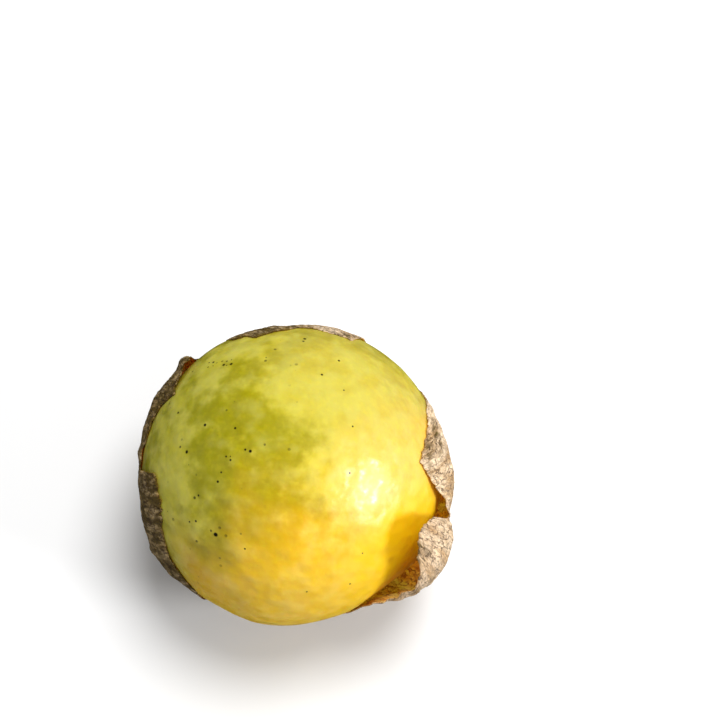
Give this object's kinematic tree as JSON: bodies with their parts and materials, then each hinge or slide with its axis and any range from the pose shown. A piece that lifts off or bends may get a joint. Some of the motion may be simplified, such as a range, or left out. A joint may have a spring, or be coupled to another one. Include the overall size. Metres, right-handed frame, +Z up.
{
  "type": "tomatillo",
  "caption": "Ripe yellow-green tomatillo in its torn, dry, papery husk, resting on its base with a short stub of stem underneath.",
  "frame": {"origin": "on the flat patch that the tomatillo rests on, straight below the fruit's centre", "axes": "+Z up from the surface it rests on; +Y towards the side that the husk's opening leans away from, so the opening faces up and 16 degrees towards -Y; +X to the right as the opening is seen from above and in front"},
  "size_m": [0.0635, 0.0601, 0.056],
  "materials": {
    "fruit_skin": "waxy, softly glossy fruit skin, cloudy yellow-green with deep golden parts and a few small dark specks",
    "dry_husk": "dry, papery tan calyx with raised ribs and a net of dark brown veins, browner inside",
    "dry_stem": "dry, ridged, olive-brown stalk"
  },
  "bodies": {
    "root": {"fruit": "fruit_skin", "husk": "dry_husk", "stem": "dry_stem"}
  },
  "joints": []
}
